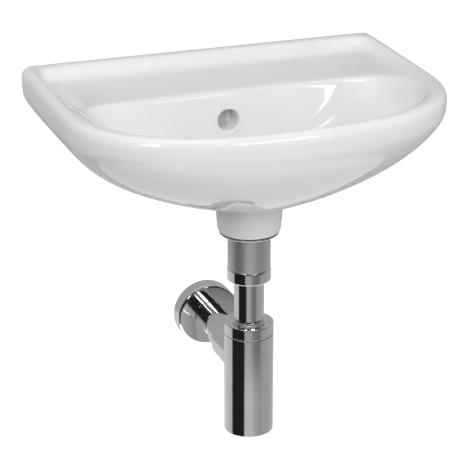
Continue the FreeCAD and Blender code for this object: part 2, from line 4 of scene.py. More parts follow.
import bmesh
import bpy
from mathutils import Matrix, Vector


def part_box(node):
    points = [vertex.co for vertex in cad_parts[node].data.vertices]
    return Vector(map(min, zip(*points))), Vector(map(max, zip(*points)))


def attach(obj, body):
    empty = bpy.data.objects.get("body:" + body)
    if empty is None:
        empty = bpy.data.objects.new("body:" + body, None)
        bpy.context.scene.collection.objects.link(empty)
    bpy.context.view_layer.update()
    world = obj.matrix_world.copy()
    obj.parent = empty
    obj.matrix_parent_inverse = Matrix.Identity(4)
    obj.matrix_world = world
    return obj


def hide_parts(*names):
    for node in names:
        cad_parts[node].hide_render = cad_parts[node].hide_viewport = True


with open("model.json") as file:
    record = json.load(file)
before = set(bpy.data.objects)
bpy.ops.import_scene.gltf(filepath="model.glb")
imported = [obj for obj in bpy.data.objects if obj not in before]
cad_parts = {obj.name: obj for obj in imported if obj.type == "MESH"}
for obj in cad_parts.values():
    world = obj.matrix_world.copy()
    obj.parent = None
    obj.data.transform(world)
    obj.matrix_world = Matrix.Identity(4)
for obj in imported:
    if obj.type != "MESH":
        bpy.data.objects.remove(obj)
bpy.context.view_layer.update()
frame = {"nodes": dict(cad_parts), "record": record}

scene = bpy.context.scene
scene.view_settings.view_transform = "Standard"

# Camera

camera = {
    "place": (-0.6346, -1.7522, 0.5100),
    "azimuth": -21.0,          # degrees, seen from above
    "downwards": 21.263,
    "lens": 136.92,
    "sensor": 36.0,
    "farClip": 60.0,
}


def addCamera():
    turn, tilt = math.radians(camera["azimuth"]), math.radians(camera["downwards"])
    level = math.cos(tilt)
    ahead = Vector((-math.sin(turn) * level, math.cos(turn) * level, -math.sin(tilt)))
    data = bpy.data.cameras.new("camera")
    data.lens = camera["lens"]
    data.sensor_width = camera["sensor"]
    data.clip_end = camera["farClip"]
    eye = bpy.data.objects.new("camera", data)
    eye.location = camera["place"]
    eye.rotation_euler = ahead.to_track_quat("-Z", "Y").to_euler()
    scene.collection.objects.link(eye)
    scene.camera = eye


addCamera()
print("camera placed")


# Materials

def emptyMaterial(name):
    material = bpy.data.materials.new(name)
    material.use_nodes = True
    tree = material.node_tree
    tree.nodes.clear()
    return material, tree, tree.nodes.new("ShaderNodeOutputMaterial")


def startMaterial(name):
    material, tree, output = emptyMaterial(name)
    shader = tree.nodes.new("ShaderNodeBsdfPrincipled")
    tree.links.new(shader.outputs["BSDF"], output.inputs["Surface"])
    place = tree.nodes.new("ShaderNodeTexCoord")
    return material, tree, shader, place.outputs["Object"]


def stretched(tree, coordinates, scale):
    mapping = tree.nodes.new("ShaderNodeMapping")
    mapping.inputs["Scale"].default_value = scale
    tree.links.new(coordinates, mapping.inputs["Vector"])
    return mapping.outputs["Vector"]


def noise(tree, coordinates, scale, detail=3.0, roughness=0.5):
    node = tree.nodes.new("ShaderNodeTexNoise")
    node.inputs["Scale"].default_value = scale
    node.inputs["Detail"].default_value = detail
    node.inputs["Roughness"].default_value = roughness
    tree.links.new(coordinates, node.inputs["Vector"])
    return node.outputs["Fac"]


def spread(tree, value, low, high, fromLow=0.3, fromHigh=0.7):
    node = tree.nodes.new("ShaderNodeMapRange")
    node.inputs["From Min"].default_value = fromLow
    node.inputs["From Max"].default_value = fromHigh
    node.inputs["To Min"].default_value = low
    node.inputs["To Max"].default_value = high
    tree.links.new(value, node.inputs["Value"])
    return node.outputs["Result"]


# the mix node's sockets 6 and 7 are its two colours, and output 2 is the blend
def blendColours(tree, value, first, second):
    node = tree.nodes.new("ShaderNodeMix")
    node.data_type = "RGBA"
    node.inputs[6].default_value = (*first, 1)
    node.inputs[7].default_value = (*second, 1)
    tree.links.new(value, node.inputs[0])
    return node.outputs[2]


def bumped(tree, height, strength, distance, under=None):
    node = tree.nodes.new("ShaderNodeBump")
    node.inputs["Strength"].default_value = strength
    node.inputs["Distance"].default_value = distance
    tree.links.new(height, node.inputs["Height"])
    if under is not None:
        tree.links.new(under, node.inputs["Normal"])
    return node.outputs["Normal"]


chinaLook = {
    "glaze": (0.800, 0.802, 0.806),
    "glazeThin": (0.775, 0.777, 0.782),
    "rawClay": (0.66, 0.645, 0.615),
    "gloss": 0.07,
    "rawRoughness": 0.75,
    "wave": 0.00012,      # height of the glaze's slow unevenness
    "rawFrom": -0.0006,   # y past which the back is unglazed
    "refraction": 1.52,
    "mottleScale": 14.0,
    "claySpecks": 420.0,
    "shineScale": 60.0,
    "waveScale": 22.0,
    "waveStrength": 0.35,
    "pitScale": 260.0,
    "pitStrength": 0.08,
}


def glazedChina():
    look = chinaLook
    material, tree, shader, place = startMaterial("glazed_china")
    links = tree.links
    axes = tree.nodes.new("ShaderNodeSeparateXYZ")
    links.new(place, axes.inputs["Vector"])
    raw = spread(tree, axes.outputs["Y"], 0.0, 1.0, look["rawFrom"], look["rawFrom"] / 2)
    mottle = noise(tree, place, look["mottleScale"], 2.0)
    glaze = blendColours(tree, spread(tree, mottle, 0.0, 1.0), look["glaze"], look["glazeThin"])
    clayGrain = noise(tree, place, look["claySpecks"], 4.0, 0.7)
    clay = blendColours(tree, spread(tree, clayGrain, 0.0, 1.0), look["rawClay"],
                        tuple(c * 0.9 for c in look["rawClay"]))
    colour = tree.nodes.new("ShaderNodeMix")
    colour.data_type = "RGBA"
    links.new(raw, colour.inputs[0])
    links.new(glaze, colour.inputs[6])
    links.new(clay, colour.inputs[7])
    links.new(colour.outputs[2], shader.inputs["Base Color"])
    shine = tree.nodes.new("ShaderNodeMix")
    links.new(raw, shine.inputs[0])
    links.new(spread(tree, noise(tree, place, look["shineScale"], 3.0),
                     look["gloss"] * 0.8, look["gloss"] * 1.3), shine.inputs[2])
    shine.inputs[3].default_value = look["rawRoughness"]
    links.new(shine.outputs[0], shader.inputs["Roughness"])
    shader.inputs["IOR"].default_value = look["refraction"]
    slow = bumped(tree, noise(tree, place, look["waveScale"], 1.0), look["waveStrength"], look["wave"])
    pits = bumped(tree, noise(tree, place, look["pitScale"], 2.0), look["pitStrength"],
                  look["wave"], slow)
    links.new(pits, shader.inputs["Normal"])
    return material


chromeLook = {
    "metal": (0.80, 0.80, 0.81),
    "worn": (0.74, 0.74, 0.75),
    "polish": 0.045,
    "smear": 0.11,
    "toneScale": 35.0,
    "smearStretch": (60.0, 60.0, 9.0),
    "rippleScale": 90.0,
    "rippleStrength": 0.06,
    "rippleHeight": 0.00005,
}


def polishedChrome():
    look = chromeLook
    material, tree, shader, place = startMaterial("polished_chrome")
    links = tree.links
    tone = spread(tree, noise(tree, place, look["toneScale"], 4.0), 0.0, 1.0)
    links.new(blendColours(tree, tone, look["metal"], look["worn"]), shader.inputs["Base Color"])
    shader.inputs["Metallic"].default_value = 1.0
    smears = spread(tree, noise(tree, stretched(tree, place, look["smearStretch"]), 1.0, 5.0, 0.65),
                    look["polish"], look["smear"], 0.45, 0.8)
    links.new(smears, shader.inputs["Roughness"])
    links.new(bumped(tree, noise(tree, place, look["rippleScale"], 2.0),
                     look["rippleStrength"], look["rippleHeight"]), shader.inputs["Normal"])
    return material


satinLook = {
    "metal": (0.72, 0.715, 0.71),
    "dark": (0.60, 0.595, 0.59),
    "rough": (0.36, 0.46),
    "strokeStretch": (40.0, 40.0, 900.0),
    "strokeStrength": 0.25,
    "strokeHeight": 0.00004,
    "grainScale": 300.0,
    "anisotropy": 0.35,
}


def satinMetal():
    look = satinLook
    material, tree, shader, place = startMaterial("satin_metal")
    links = tree.links
    strokes = noise(tree, stretched(tree, place, look["strokeStretch"]), 1.0, 4.0, 0.6)
    grain = noise(tree, place, look["grainScale"], 4.0, 0.7)
    tone = tree.nodes.new("ShaderNodeMix")
    tone.inputs[0].default_value = 0.5
    links.new(strokes, tone.inputs[2])
    links.new(grain, tone.inputs[3])
    links.new(blendColours(tree, spread(tree, tone.outputs[0], 0.0, 1.0, 0.35, 0.65),
                           look["metal"], look["dark"]), shader.inputs["Base Color"])
    shader.inputs["Metallic"].default_value = 1.0
    links.new(spread(tree, grain, *look["rough"]), shader.inputs["Roughness"])
    shader.inputs["Anisotropic"].default_value = look["anisotropy"]
    links.new(bumped(tree, strokes, look["strokeStrength"], look["strokeHeight"]),
              shader.inputs["Normal"])
    return material


zincLook = {
    "metal": (0.60, 0.61, 0.62),
    "spangle": (0.48, 0.49, 0.50),
    "rough": (0.28, 0.45),
    "spangleScale": 480.0,
    "wearScale": 200.0,
    "grainScale": 700.0,
}


def zincSteel():
    look = zincLook
    material, tree, shader, place = startMaterial("zinc_steel")
    links = tree.links
    cells = tree.nodes.new("ShaderNodeTexVoronoi")
    cells.inputs["Scale"].default_value = look["spangleScale"]
    links.new(place, cells.inputs["Vector"])
    tone = spread(tree, cells.outputs["Distance"], 0.0, 1.0, 0.1, 0.7)
    links.new(blendColours(tree, tone, look["metal"], look["spangle"]), shader.inputs["Base Color"])
    shader.inputs["Metallic"].default_value = 1.0
    links.new(spread(tree, noise(tree, place, look["wearScale"], 4.0), *look["rough"]),
              shader.inputs["Roughness"])
    links.new(bumped(tree, noise(tree, place, look["grainScale"], 3.0), 0.2, 0.00004),
              shader.inputs["Normal"])
    return material


rubberLook = {
    "black": (0.022, 0.022, 0.023),
    "bloom": (0.06, 0.06, 0.062),
    "rough": (0.55, 0.8),
    "bloomScale": 120.0,
    "grainScale": 900.0,
}


def blackRubber():
    look = rubberLook
    material, tree, shader, place = startMaterial("black_rubber")
    links = tree.links
    bloom = spread(tree, noise(tree, place, look["bloomScale"], 5.0, 0.6), 0.0, 1.0, 0.4, 0.8)
    links.new(blendColours(tree, bloom, look["black"], look["bloom"]), shader.inputs["Base Color"])
    links.new(spread(tree, bloom, *look["rough"], 0.0, 1.0), shader.inputs["Roughness"])
    links.new(bumped(tree, noise(tree, place, look["grainScale"], 2.0), 0.3, 0.00003),
              shader.inputs["Normal"])
    return material


plasticLook = {
    "white": (0.72, 0.72, 0.69),
    "shade": (0.64, 0.64, 0.61),
    "rough": (0.35, 0.5),
    "toneScale": 80.0,
    "wearScale": 500.0,
    "grainScale": 1200.0,
}


def whitePlastic():
    look = plasticLook
    material, tree, shader, place = startMaterial("white_plastic")
    links = tree.links
    tone = spread(tree, noise(tree, place, look["toneScale"], 3.0), 0.0, 1.0)
    links.new(blendColours(tree, tone, look["white"], look["shade"]), shader.inputs["Base Color"])
    links.new(spread(tree, noise(tree, place, look["wearScale"], 3.0), *look["rough"]),
              shader.inputs["Roughness"])
    links.new(bumped(tree, noise(tree, place, look["grainScale"], 2.0), 0.15, 0.00003),
              shader.inputs["Normal"])
    return material


finishes = {
    "china": glazedChina(),
    "chrome": polishedChrome(),
    "satin_metal": satinMetal(),
    "zinc_steel": zincSteel(),
    "black_rubber": blackRubber(),
    "white_plastic": whitePlastic(),
}
print("materials mixed")


# Modelling helpers

bodyOf = {
    node: body
    for body, nodes in frame["record"]["behaviour"]["bodies"].items()
    for node in nodes
}


# a finished piece stands for its CAD node and rides where that node rides
def addPiece(name, bm, node, finish, keepSharp=35.0, weigh=True):
    data = bpy.data.meshes.new(name)
    bm.to_mesh(data)
    bm.free()
    for face in data.polygons:
        face.use_smooth = True
    data.set_sharp_from_angle(angle=math.radians(keepSharp))
    piece = bpy.data.objects.new(name, data)
    scene.collection.objects.link(piece)
    data.materials.append(finishes[finish])
    if weigh:
        weighted = piece.modifiers.new("even_faces", "WEIGHTED_NORMAL")
        weighted.keep_sharp = True
    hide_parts(node)
    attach(piece, bodyOf[node])
    return piece


# spins (radius, height, rounding) corners round the drain's line or round the wall pipe's
def turnProfile(corners, alongPipe=False, steps=96):
    bm = bmesh.new()
    verts = [bm.verts.new((corner[0], 0, corner[1])) for corner in corners]
    for first, second in zip(verts, verts[1:] + verts[:1]):
        if first.co.x > 1e-9 or second.co.x > 1e-9:
            bm.edges.new((first, second))
    bmesh.ops.spin(bm, geom=bm.verts[:] + bm.edges[:], cent=(0, 0, 0), axis=(0, 0, 1),
                   angle=math.tau, steps=steps, use_merge=True)
    bmesh.ops.remove_doubles(bm, verts=bm.verts[:], dist=1e-7)
    bmesh.ops.recalc_face_normals(bm, faces=bm.faces[:])
    for corner in corners:
        if len(corner) > 2 and corner[2] > 0:
            roundRing(bm, *corner)
    place = Matrix.Translation((0, drainY, 0))
    if alongPipe:
        place = Matrix.Translation((0, 0, pipeLevel)) @ Matrix.Rotation(-math.pi / 2, 4, "X")
    bmesh.ops.transform(bm, matrix=place, verts=bm.verts[:])
    return bm


def roundRing(bm, radius, height, rounding, segments=5):
    near = 1e-6
    ring = [edge for edge in bm.edges
            if all(abs(v.co.z - height) < near and abs(v.co.xy.length - radius) < near
                   for v in edge.verts)]
    bmesh.ops.bevel(bm, geom=ring, offset=rounding, offset_type="OFFSET", segments=segments,
                    profile=0.5, affect="EDGES", material=-1, clamp_overlap=True)


def newVertsOf(geometry):
    return [g for g in geometry if isinstance(g, bmesh.types.BMVert)]


def settle(piece):  # turns a piece's modifiers into plain mesh
    shown = piece.evaluated_get(bpy.context.evaluated_depsgraph_get())
    data = bpy.data.meshes.new_from_object(shown)
    old = piece.data
    piece.modifiers.clear()
    piece.data = data
    bpy.data.meshes.remove(old)


def looseObject(name, bm):
    data = bpy.data.meshes.new(name)
    bm.to_mesh(data)
    bm.free()
    made = bpy.data.objects.new(name, data)
    scene.collection.objects.link(made)
    return made


# cuts or joins two closed shapes; both go, and the result is new
def combine(bm, other, operation):
    first = looseObject("first", bm)
    second = looseObject("second", other)
    knife = first.modifiers.new("knife", "BOOLEAN")
    knife.operation = operation
    knife.solver = "EXACT"
    knife.object = second
    settle(first)
    result = bmesh.new()
    result.from_mesh(first.data)
    for spare in (first, second):
        data = spare.data
        bpy.data.objects.remove(spare)
        bpy.data.meshes.remove(data)
    return result


def rodShape(radius, start, end, segments=32):
    start, end = Vector(start), Vector(end)
    along = end - start
    bm = bmesh.new()
    facing = along.to_track_quat("Z", "Y").to_matrix().to_4x4()
    place = Matrix.Translation((start + end) / 2) @ facing
    bmesh.ops.create_cone(bm, cap_ends=True, segments=segments, radius1=radius, radius2=radius,
                          depth=along.length, matrix=place)
    return bm


def blockShape(low, high):
    low, high = Vector(low), Vector(high)
    size = high - low
    bm = bmesh.new()
    place = Matrix.Translation((low + high) / 2) @ Matrix.Diagonal((*size, 1))
    bmesh.ops.create_cube(bm, size=1.0, matrix=place)
    return bm


def radiusOf(node, axis=0):
    low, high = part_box(node)
    return (high[axis] - low[axis]) / 2


low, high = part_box("dip_tube")
drainY = (low.y + high.y) / 2
low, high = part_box("wall_pipe")
pipeLevel = (low.z + high.z) / 2


# Basin

basinLow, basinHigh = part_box("basin")

basin = {
    "width": 0.400,
    "projection": 0.280,
    "deckDepth": 0.078,
    "bowlDepth": 0.110,
    "china": 0.0115,
    "frontDrop": 0.010,
    "sideDrop": 0.0055,
    "bandHeight": 0.024,
    "frontFullness": 2.4,
    "rimBreadth": 0.026,
    "frontBreadth": 0.010,
    "upstand": 0.012,
    "deckLevel": -0.025,
    "coveLevel": -0.016,
    "behind": 0.024,
    "bossRadius": 0.0355,
    "bossFootRadius": 0.0335,
    "bossFoot": basinLow.z,
    "bellyLevel": -0.1215,
    "seatRadius": 0.033,
    "seatDepth": 0.004,
    "wasteHoleRadius": 0.023,
    "overflowLevel": -0.057,
    "overflowRadius": 0.0115,
    "overflowRound": 0.0025,
    "channelRadius": 0.005,
    "spineWall": 0.0065,
    "spineGap": 0.019,
    "spineBack": 0.004,
    "backPlate": 0.012,
    "pocketFront": 0.016,
    "pocketHalf": 0.125,
    "fixingHalf": 0.110,
    "fixingLevel": -0.062,
    "fixingHoleRadius": 0.0075,
    "bowlWidest": -0.150,      # y of the bowl's widest place
    "rimWidest": -0.155,
    "bellyMiddle": 0.595,      # share of the projection that the belly's rings close in on
    "floorRadius": 0.024,
    "floorEdgeRadius": 0.034,
    "mouthSetback": 0.0024,    # from the bowl's edge back to the overflow's mouth
    "mouthReach": 0.020,
    "channelRise": 0.006,      # from the overflow's middle up to the channel's top
    "kneeSetback": 0.004,
    "kneeLift": 0.005,
    "outletInset": 0.003,
    "outletLift": 0.008,
    "roofSink": 0.004,
    "tunnelSetback": 0.006,
    "cutBeyond": 0.005,        # how far a cutter reaches past the surface
    "outlineSteps": 720,       # points that a ring is measured on
    "columns": 48,
    "cornerWeight": 0.062,     # metres of outline that one radian of turning counts for
    "edgeRound": 0.0008,
}


# a smooth curve through three (y, level) stations that never overshoots them
def between(y, stations):
    (y0, a), (y1, b), (y2, c) = stations
    rise = (b - a) / (y1 - y0)
    fall = (c - b) / (y2 - y1)
    middle = 0.0 if rise * fall <= 0 else 2 * rise * fall / (rise + fall)
    if y >= y1:
        t, span, p, q = (y - y0) / (y1 - y0), y1 - y0, a, b
        m0, m1 = 1.5 * rise - middle / 2, middle
    else:
        t, span, p, q = (y - y1) / (y2 - y1), y2 - y1, b, c
        m0, m1 = middle, 1.5 * fall - middle / 2
    t = min(max(t, 0.0), 1.0)
    cubic = (2 * t ** 3 - 3 * t ** 2 + 1) * p + (3 * t ** 2 - 2 * t ** 3) * q
    return cubic + span * ((t ** 3 - 2 * t ** 2 + t) * m0 + (t ** 3 - t ** 2) * m1)


# points round one level of the skin, spread by length and by turning
def ringPoints(half, back, front, levels, widest, backFullness=2.0, fullness=2.0):
    path = []
    steps = basin["outlineSteps"]
    for i in range(steps + 1):
        angle = math.pi / 2 - math.pi * i / steps
        c, s = math.cos(angle), math.sin(angle)
        power = backFullness if s > 0 else fullness
        reach = (abs(c) ** power + abs(s) ** power) ** (-1 / power)
        depth = (back - widest) if s > 0 else (widest - front)
        path.append((half * reach * max(c, 0.0), widest + depth * reach * s))
    measure = [0.0]
    heading = 0.0
    for (x0, y0), (x1, y1) in zip(path, path[1:]):
        newHeading = math.atan2(y0 - y1, x1 - x0)
        length = math.hypot(x1 - x0, y1 - y0)
        measure.append(measure[-1] + length + basin["cornerWeight"] * abs(newHeading - heading))
        heading = newHeading
    points = []
    place = 0
    halfCount = basin["columns"] // 2
    for k in range(halfCount + 1):
        target = measure[-1] * k / halfCount
        while place < len(measure) - 2 and measure[place + 1] < target:
            place += 1
        t = (target - measure[place]) / (measure[place + 1] - measure[place])
        x = path[place][0] + t * (path[place + 1][0] - path[place][0])
        y = path[place][1] + t * (path[place + 1][1] - path[place][1])
        points.append((x, y))
    stations = ((back, levels[0]), (widest, levels[1]), (front, levels[2]))
    right = [Vector((x, y, between(y, stations))) for x, y in points]
    left = [Vector((-p.x, p.y, p.z)) for p in reversed(right[1:-1])]
    return right + left


def circleRing(radius, level):
    return ringPoints(radius, drainY + radius, drainY - radius, (level,) * 3, drainY)


def bowlRings():
    b = basin
    edgeHalf = b["width"] / 2 - b["rimBreadth"]
    edgeBack = -b["deckDepth"]
    edgeFront = -b["projection"] + b["frontBreadth"]
    depth = b["bowlDepth"]
    rings = [circleRing(b["floorRadius"], -depth), circleRing(b["floorEdgeRadius"], -depth + 0.0006)]
    # share of the way from the drain to the edge (side, back, front) and of the depth
    for side, back, front, share in (
        (0.34, 0.80, 0.53, 0.945),
        (0.48, 0.88, 0.71, 0.865),
        (0.64, 0.930, 0.83, 0.730),
        (0.775, 0.955, 0.90, 0.555),
        (0.875, 0.972, 0.945, 0.385),
    ):
        rings.append(ringPoints(
            edgeHalf * side, drainY + (edgeBack - drainY) * back,
            drainY + (edgeFront - drainY) * front,
            (min(-depth * share, b["deckLevel"] - 0.006), -depth * share, -depth * share),
            b["bowlWidest"], 2.0 + 2.0 * side, 2.0 + 0.25 * side))
    rings.append(ringPoints(
        edgeHalf * 0.935, edgeBack - 0.0013, edgeFront + 0.0045,
        (b["deckLevel"] - 0.0075, -depth * 0.24, -depth * 0.20), b["bowlWidest"], 4.0, 2.3))
    return rings


def rimRings():
    b = basin
    side, tip = -b["sideDrop"], -b["frontDrop"]
    edge, wall = -b["deckDepth"], -b["upstand"]
    breadth, deck, cove = b["rimBreadth"], b["deckLevel"], b["coveLevel"]
    # inset at the side, y at the back, inset at the front, the three levels, back fullness
    stations = (
        (breadth + 0.0035, edge - 0.0006, 0.0125, deck - 0.0030, side - 0.0095, tip - 0.0046, 4.0),
        (breadth, edge + 0.0014, 0.0103, deck - 0.0004, side - 0.0056, tip - 0.0024, 4.0),
        (breadth - 0.005, edge + 0.009, 0.0083, deck + 0.0009, side - 0.0030, tip - 0.0009, 4.6),
        (0.019, edge + 0.033, 0.0076, deck + 0.0042, side - 0.0021, tip - 0.0006, 7.0),
        (0.017, wall - 0.0155, 0.0072, cove - 0.0012, side - 0.0014, tip - 0.00035, 10.0),
        (0.015, wall - 0.0065, 0.0070, cove + 0.0012, side - 0.0009, tip - 0.0002, 14.0),
        (0.013, wall - 0.0018, 0.0068, cove + 0.0070, side - 0.0005, tip - 0.0001, 18.0),
        (0.011, wall + 0.0014, 0.0066, -0.0018, side - 0.0002, tip, 20.0),
        (0.009, wall + 0.0068, 0.0063, 0.0, side, tip, 22.0),
        (0.006, 0.007, 0.0044, 0.0, side - 0.0002, tip - 0.0002, 28.0),
        (0.002, 0.015, 0.0010, -0.0020, side - 0.0026, tip - 0.0026, 34.0),
        (0.0, b["behind"], -0.0005, -0.0085, side - 0.0085, tip - 0.0080, 40.0),
        (0.0, b["behind"], -0.0005, -b["bandHeight"] + 0.0075, side - 0.0150, tip - 0.0135, 40.0),
    )
    return [ringPoints(b["width"] / 2 - inset, back, -b["projection"] + ahead, (z0, z1, z2),
                       b["rimWidest"], power, b["frontFullness"])
            for inset, back, ahead, z0, z1, z2, power in stations]


def bellyRings():
    b = basin
    rings = []
    middle = -b["projection"] * b["bellyMiddle"]
    top = -b["bandHeight"] - 0.002
    drop = top - b["bellyLevel"]
    behind = b["behind"]
    # share of the drop, shares of the half width and of the front's reach, y at the back, fullness
    for depth, side, ahead, back, power in (
        (0.03, 0.998, 0.997, behind, 36.0),
        (0.10, 0.986, 0.986, behind, 30.0),
        (0.22, 0.953, 0.954, behind, 20.0),
        (0.36, 0.902, 0.897, behind, 14.0),
        (0.50, 0.830, 0.814, behind, 10.0),
        (0.63, 0.735, 0.710, behind - 0.006, 7.0),
        (0.75, 0.615, 0.592, -0.012, 5.0),
        (0.85, 0.488, 0.470, -0.046, 3.6),
        (0.93, 0.358, 0.348, -0.078, 2.6),
        (0.98, 0.254, 0.249, -0.097, 2.1),
    ):
        level = top - drop * depth
        sag = 0.55 * max(0.0, 1 - depth / 0.45)
        rings.append(ringPoints(
            b["width"] / 2 * side, back, middle - (b["projection"] + middle) * ahead,
            (level, level - b["sideDrop"] * sag, level - b["frontDrop"] * sag),
            b["rimWidest"] + (drainY - b["rimWidest"]) * depth, power,
            b["frontFullness"] - 0.4 * depth))
    return rings


def bossRings():
    b = basin
    belly, foot = b["bellyLevel"], b["bossFoot"]
    radius, footRadius = b["bossRadius"], b["bossFootRadius"]
    return [
        circleRing(radius + 0.004, belly - 0.0004),
        circleRing(radius + 0.0003, belly - 0.0022),
        circleRing(radius, belly - 0.006),
        circleRing((radius + footRadius) / 2, (belly + foot) / 2),
        circleRing(footRadius, foot + 0.005),
        circleRing(footRadius - 0.0006, foot + 0.001),
        circleRing(footRadius - 0.003, foot),
        circleRing(footRadius - 0.006, foot),
    ]


# a smooth closed skin over rings: a circle drawn out from ring to ring, then subdivided
def skinned(rings, levels=2):
    bm = bmesh.new()
    bmesh.ops.create_circle(bm, cap_ends=False, radius=0.01, segments=len(rings[0]))
    bm.verts.ensure_lookup_table()
    loop = list(bm.verts)
    edges = list(bm.edges)
    for vert, point in zip(loop, rings[0]):
        vert.co = point
    firstEdges = list(edges)
    for ring in rings[1:]:
        grown = bmesh.ops.extrude_edge_only(bm, edges=edges)["geom"]
        partner = {}
        for vert in newVertsOf(grown):
            for edge in vert.link_edges:
                other = edge.other_vert(vert)
                if other in loop:
                    partner[other] = vert
        loop = [partner[vert] for vert in loop]
        inLoop = set(loop)
        for vert, point in zip(loop, ring):
            vert.co = point
        edges = [g for g in grown if isinstance(g, bmesh.types.BMEdge)
                 and g.verts[0] in inLoop and g.verts[1] in inLoop]
    ends = [bmesh.ops.contextual_create(bm, geom=end)["faces"] for end in (firstEdges, edges)]
    for end in ends:
        bmesh.ops.inset_region(bm, faces=end, thickness=0.002, use_even_offset=True)
    bmesh.ops.recalc_face_normals(bm, faces=bm.faces[:])
    cage = looseObject("cage", bm)
    smooth = cage.modifiers.new("smooth", "SUBSURF")
    smooth.levels = levels
    smooth.render_levels = levels
    settle(cage)
    skin = bmesh.new()
    skin.from_mesh(cage.data)
    data = cage.data
    bpy.data.objects.remove(cage)
    bpy.data.meshes.remove(data)
    return skin


def pocketShape():  # the room behind the bowl, open underneath
    b = basin
    half = b["width"] / 2
    roof = b["deckLevel"] - b["china"]
    slope = [
        (half - 0.028, roof + 0.003), (half - 0.030, roof - 0.008),
        (half - 0.042, b["fixingLevel"] - 0.004), (b["pocketHalf"], b["fixingLevel"] - 0.027),
        (b["pocketHalf"], b["bossFoot"]),
    ]
    bm = bmesh.new()
    start = -b["backPlate"]
    mirrored = [(-x, z) for x, z in reversed(slope)]
    outline = [bm.verts.new((x, start, z)) for x, z in slope + mirrored]
    face = bm.faces.new(outline)
    grown = bmesh.ops.extrude_face_region(bm, geom=[face])["geom"]
    depth = b["deckDepth"] + b["pocketFront"] - b["backPlate"]
    bmesh.ops.translate(bm, vec=(0, -depth, 0), verts=newVertsOf(grown))
    bmesh.ops.recalc_face_normals(bm, faces=bm.faces[:])
    return bm


def bowlShell():  # the bowl's china as seen from the pocket
    b = basin
    edgeHalf = b["width"] / 2 - b["rimBreadth"] + b["china"]
    edgeBack = -b["deckDepth"] + b["china"]
    edgeFront = -b["projection"] + b["frontBreadth"] - b["china"]
    foot = -b["bowlDepth"] - b["china"]
    rings = []
    # share of the way from the drain to the edge (side, back, front), of the depth, and back fullness
    for side, back, front, depth, power in (
        (0.20, 0.40, 0.25, 1.0, 2.0),
        (0.34, 0.72, 0.45, 1.0, 2.2),
        (0.50, 0.86, 0.70, 0.94, 2.8),
        (0.66, 0.93, 0.83, 0.80, 3.2),
        (0.80, 0.965, 0.91, 0.60, 3.6),
        (0.90, 0.985, 0.955, 0.40, 3.8),
        (0.96, 0.995, 0.98, 0.22, 4.0),
        (0.98, 1.0, 0.99, 0.10, 4.0),
        (1.0, 1.0, 1.0, 0.0, 4.0),
    ):
        rings.append(ringPoints(
            edgeHalf * side, drainY + (edgeBack - drainY) * back,
            drainY + (edgeFront - drainY) * front, (foot * depth,) * 3, b["bowlWidest"], power, 2.2))
    return skinned(rings, 1)


def overflowCutter(endY):
    b = basin
    mouth = -b["deckDepth"] - b["mouthSetback"]
    radius, rounding = b["overflowRadius"], b["overflowRound"]
    wide = radius + rounding * 2
    corners = [
        (0, endY), (radius, endY), (radius, mouth, rounding), (wide, mouth - 0.0001),
        (wide, mouth - b["mouthReach"]), (0, mouth - b["mouthReach"]),
    ]
    bm = turnProfile(corners, alongPipe=True, steps=48)
    bmesh.ops.translate(bm, vec=(0, 0, b["overflowLevel"] - pipeLevel), verts=bm.verts[:])
    return bm


def makeBasin():
    b = basin
    body = skinned(bowlRings() + rimRings() + bellyRings() + bossRings())
    cut = bmesh.ops.bisect_plane(body, geom=body.verts[:] + body.edges[:] + body.faces[:], dist=1e-6,
                                 plane_co=(0, 0, 0), plane_no=(0, 1, 0), clear_outer=True)
    rim = [g for g in cut["geom_cut"] if isinstance(g, bmesh.types.BMEdge)]
    back = bmesh.ops.contextual_create(body, geom=rim)["faces"]
    backEdges = list({edge for face in back for edge in face.edges})
    bmesh.ops.bevel(body, geom=backEdges, offset=b["edgeRound"], offset_type="OFFSET", segments=2,
                    profile=0.5, affect="EDGES", material=-1, clamp_overlap=True)
    bmesh.ops.recalc_face_normals(body, faces=body.faces[:])
    hollow = combine(pocketShape(), bowlShell(), "DIFFERENCE")
    body = combine(body, hollow, "DIFFERENCE")
    backY = -b["deckDepth"] + b["spineGap"]
    top = Vector((0, backY, b["overflowLevel"] + b["channelRise"]))
    knee = Vector((0, backY - b["kneeSetback"], -b["bowlDepth"] + b["kneeLift"]))
    outlet = Vector((0, drainY + b["wasteHoleRadius"] - b["outletInset"],
                     (b["bellyLevel"] + b["bossFoot"]) / 2 + b["outletLift"]))
    thick = b["channelRadius"] + b["spineWall"]
    tunnelHalf = b["overflowRadius"] + b["spineWall"]
    roofTop = Vector((top.x, top.y, b["deckLevel"] - b["roofSink"]))
    ball = bmesh.new()
    bmesh.ops.create_uvsphere(ball, u_segments=32, v_segments=16, radius=thick,
                              matrix=Matrix.Translation(knee))
    for part in (
        rodShape(thick, roofTop, knee), ball, rodShape(thick, knee, outlet),
        blockShape((-tunnelHalf, top.y - b["spineGap"] + b["tunnelSetback"], knee.z),
                   (tunnelHalf, top.y + b["spineBack"], roofTop.z)),
    ):
        body = combine(body, part, "UNION")
    drain = Vector((0, drainY, 0))
    holeFoot = drain + Vector((0, 0, b["bossFoot"] - b["cutBeyond"]))
    seatFoot = drain + Vector((0, 0, -b["bowlDepth"] - b["seatDepth"]))
    for part in (
        rodShape(b["wasteHoleRadius"], holeFoot, drain, 64),
        rodShape(b["seatRadius"], seatFoot, drain, 64),
        rodShape(b["channelRadius"], top, knee), rodShape(b["channelRadius"], knee, outlet),
        overflowCutter(top.y),
    ):
        body = combine(body, part, "DIFFERENCE")
    for sign in (-1, 1):
        middle = Vector((sign * b["fixingHalf"], 0, b["fixingLevel"]))
        behind = middle + Vector((0, b["cutBeyond"], 0))
        inside = middle - Vector((0, b["backPlate"] + b["cutBeyond"], 0))
        body = combine(body, rodShape(b["fixingHoleRadius"], behind, inside), "DIFFERENCE")
    addPiece("china_basin", body, "basin", "china", keepSharp=32.0, weigh=False)


makeBasin()
print("basin modelled")


